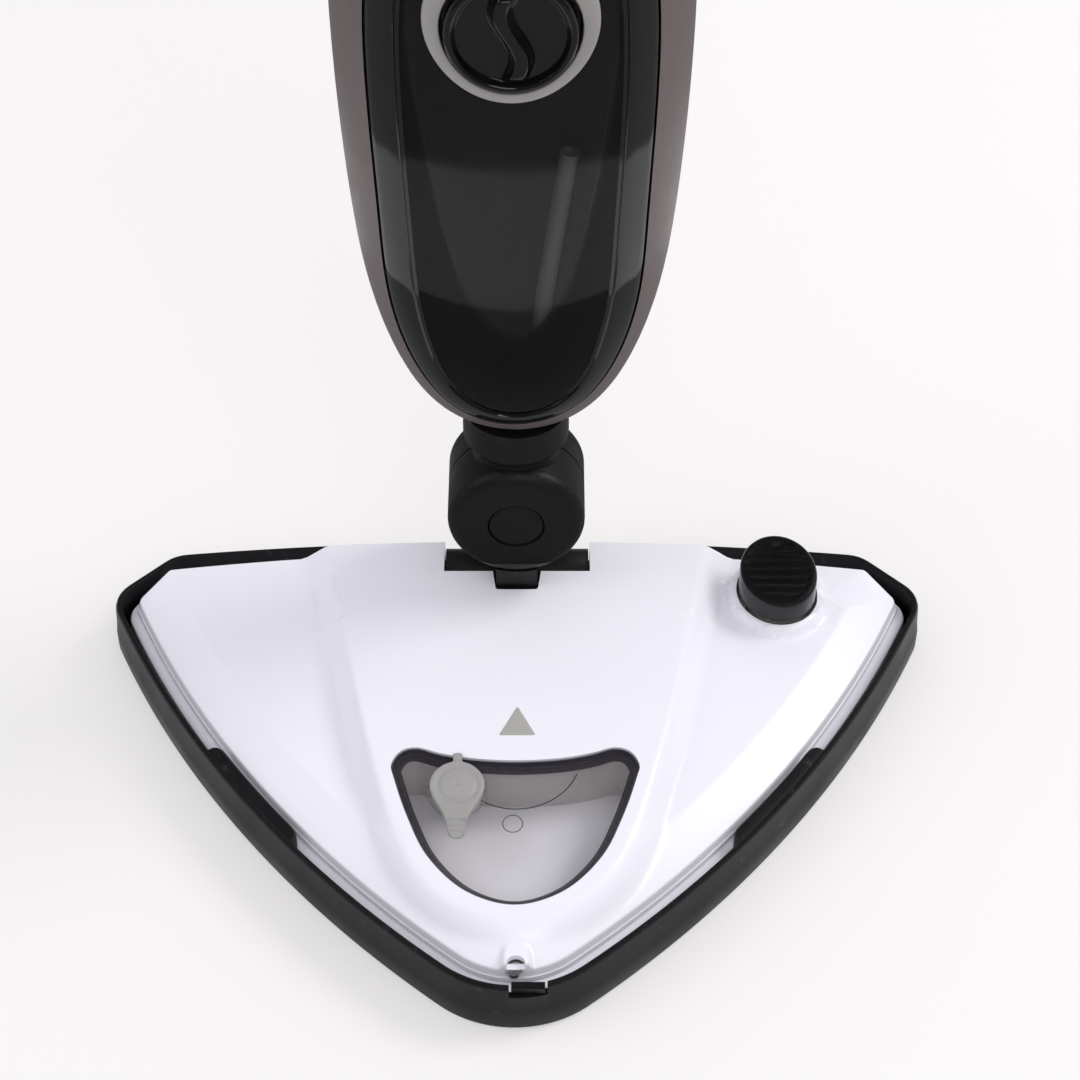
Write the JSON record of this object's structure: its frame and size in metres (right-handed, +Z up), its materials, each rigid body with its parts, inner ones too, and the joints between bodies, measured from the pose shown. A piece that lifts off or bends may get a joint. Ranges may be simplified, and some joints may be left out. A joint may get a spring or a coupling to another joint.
{
  "type": "steam mop",
  "caption": "Upright steam mop: triangular steam head in a carpet glider, two-way swivel, boiler unit with clear-fronted water tank, pole and trigger grip.",
  "frame": {"origin": "on the floor, straight under the hinge that joins the swivel to the head", "axes": "+Z up, +X to the right seen from the front, +Y to the rear; the nose of the head points along -Y"},
  "size_m": [0.2998, 0.2506, 1.143],
  "materials": {
    "glider": "fine-grained black plastic",
    "white_shell": "glossy cool white plastic",
    "clear_tank": "clear, slightly smoked plastic",
    "black_plastic": "matt black plastic",
    "button_black": "satin black plastic",
    "silicone": "translucent grey silicone",
    "hose_silicone": "milky silicone hose",
    "seal_rubber": "black rubber",
    "hook_tape": "hook tape",
    "taupe_housing": "grey-brown fine-grained plastic",
    "smoked_tank": "smoked glossy plastic",
    "trim_grey": "light grey satin plastic",
    "brass": "machined brass",
    "steel": "zinc-plated steel",
    "cast_aluminium": "cast aluminium",
    "inner_plastic": "natural white plastic",
    "pole": "black powder-coated steel",
    "light_lens": "clear lens"
  },
  "bodies": {
    "glider": {"carpet_glider": "glider"},
    "head": {"sole_plate": "white_shell", "top_cover": "white_shell", "detergent_tank": "clear_tank", "hook_strips": "hook_tape", "steam_manifold": "inner_plastic", "head_hose": "hose_silicone", "hinge_blocks": "inner_plastic", "head_screws": "steel", "pump_cylinder": "inner_plastic", "pump_hose": "hose_silicone", "spray_nozzle": "inner_plastic", "pump_spring": "steel"},
    "button": {"foot_button": "button_black", "pump_piston": "inner_plastic"},
    "plug": {"tank_plug": "silicone"},
    "swivel_foot": {"swivel_stem": "black_plastic", "stem_hose": "hose_silicone"},
    "swivel_neck": {"front_barrel": "black_plastic", "rear_barrel": "black_plastic", "pivot_pin": "steel", "pivot_cap": "black_plastic", "pivot_screw": "steel", "neck_collar": "black_plastic", "neck_seal": "seal_rubber"},
    "unit": {"housing_left": "taupe_housing", "housing_right": "taupe_housing", "tank_front": "smoked_tank", "tank_back": "smoked_tank", "filler_ring": "trim_grey", "intake_fitting": "brass", "intake_tube": "hose_silicone", "boiler": "cast_aluminium", "heating_element": "steel", "lower_carrier": "inner_plastic", "upper_carrier": "inner_plastic", "water_pump": "inner_plastic", "thermostat": "steel", "inlet_hose": "hose_silicone", "feed_hose": "hose_silicone", "steam_hose": "hose_silicone", "steam_spigot": "inner_plastic", "housing_screws": "steel", "power_light": "light_lens", "cord_gland": "seal_rubber", "microswitch": "black_plastic", "switch_carrier": "inner_plastic", "pole_collar": "black_plastic", "pole_tube": "pole", "grip_left": "black_plastic", "grip_right": "black_plastic", "trigger_pin": "steel", "hook_clamp": "black_plastic", "lower_cord_hook": "black_plastic"},
    "cap": {"filler_cap": "button_black", "cap_seal": "seal_rubber"},
    "latch": {"pole_latch": "black_plastic"},
    "trigger_lever": {"trigger": "button_black"},
    "rod": {"push_rod": "steel"},
    "upper_hook": {"upper_cord_hook": "black_plastic"}
  },
  "joints": [
    {"name": "head_lift", "type": "slide", "parent": "glider", "child": "head", "axis": [0, 0, 1], "range_m": [0, 0.03]},
    {"name": "pedal_press", "type": "slide", "parent": "head", "child": "button", "axis": [0, 0, -1], "range_m": [0, 0.007], "stiffness_N_per_m": 900, "springref_m": -0.006, "deforming": ["pump_spring"]},
    {"name": "plug_open", "type": "hinge", "parent": "head", "child": "plug", "pos_m": [-0.0199, -0.0988, 0.0338], "axis": [-1, 0, 0], "range_deg": [0, 100]},
    {"name": "swivel_pitch", "type": "hinge", "parent": "head", "child": "swivel_foot", "pos_m": [0, 0, 0.0245], "axis": [-1, 0, 0], "range_deg": [0, 75]},
    {"name": "swivel_roll", "type": "hinge", "parent": "swivel_foot", "child": "swivel_neck", "pos_m": [0, 0, 0.065], "axis": [0, 1, 0], "range_deg": [-45, 45]},
    {"name": "unit_lift", "type": "slide", "parent": "swivel_neck", "child": "unit", "axis": [0, 0, 1], "range_m": [0, 0.024]},
    {"name": "cap_turn", "type": "hinge", "parent": "unit", "child": "cap", "pos_m": [0, -0.042, 0.291], "axis": [0, -1, 0], "range_deg": [0, 90]},
    {"name": "latch_press", "type": "slide", "parent": "unit", "child": "latch", "axis": [0, 1, 0], "range_m": [0, 0.003], "stiffness_N_per_m": 1500, "springref_m": -0.002},
    {"name": "trigger_pull", "type": "hinge", "parent": "unit", "child": "trigger_lever", "pos_m": [0, 0.009, 1.049], "axis": [1, 0, 0], "range_deg": [0, 10], "stiffness_Nm_per_rad": 0.6, "springref_deg": -6.88},
    {"name": "rod_push", "type": "slide", "parent": "unit", "child": "rod", "axis": [0, 0, -1], "range_m": [0, 0.00157]},
    {"name": "hook_turn", "type": "hinge", "parent": "unit", "child": "upper_hook", "pos_m": [0, 0.02, 0.905], "axis": [0, 1, 0], "range_deg": [0, 180]}
  ],
  "couplings": [
    {"joint": "trigger_pull", "follows": "rod_push", "rad_per_m": 111.1}
  ]
}
